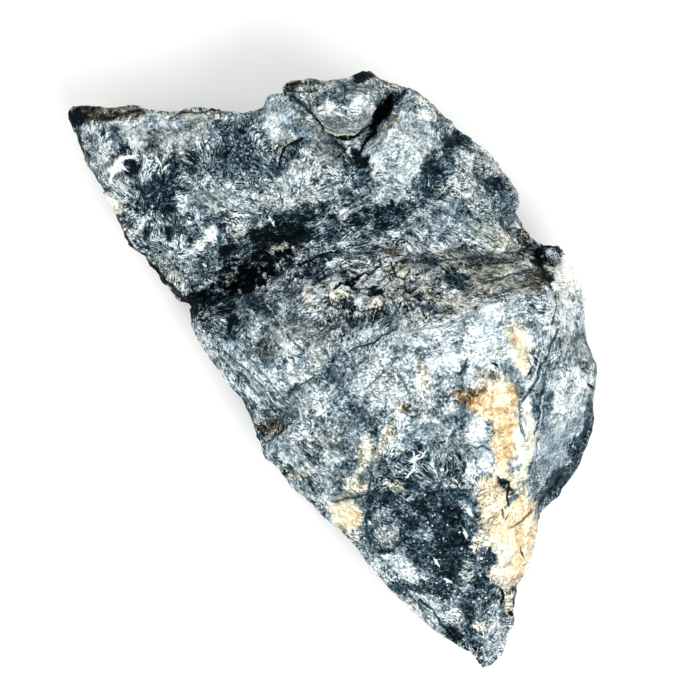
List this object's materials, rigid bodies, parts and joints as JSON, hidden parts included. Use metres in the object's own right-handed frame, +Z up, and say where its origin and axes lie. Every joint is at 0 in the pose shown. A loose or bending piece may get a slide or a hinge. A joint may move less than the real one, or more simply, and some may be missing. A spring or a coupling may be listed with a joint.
{
  "type": "rough mineral specimen",
  "caption": "Rough broken fragment of massive fibrous blue-grey and white rock with navy-black patches and an orange-tan stain, lying flat.",
  "frame": {"origin": "on the surface it rests on, under the middle of the fragment's outline", "axes": "+Z up from the flat resting face, +Y along the fragment towards its broad upper slab, +X across it towards the rounded side lobe"},
  "size_m": [0.0738, 0.0834, 0.0316],
  "materials": {
    "mottled_stone": "satin"
  },
  "bodies": {
    "root": {"altaite_fragment": "mottled_stone"}
  },
  "joints": []
}
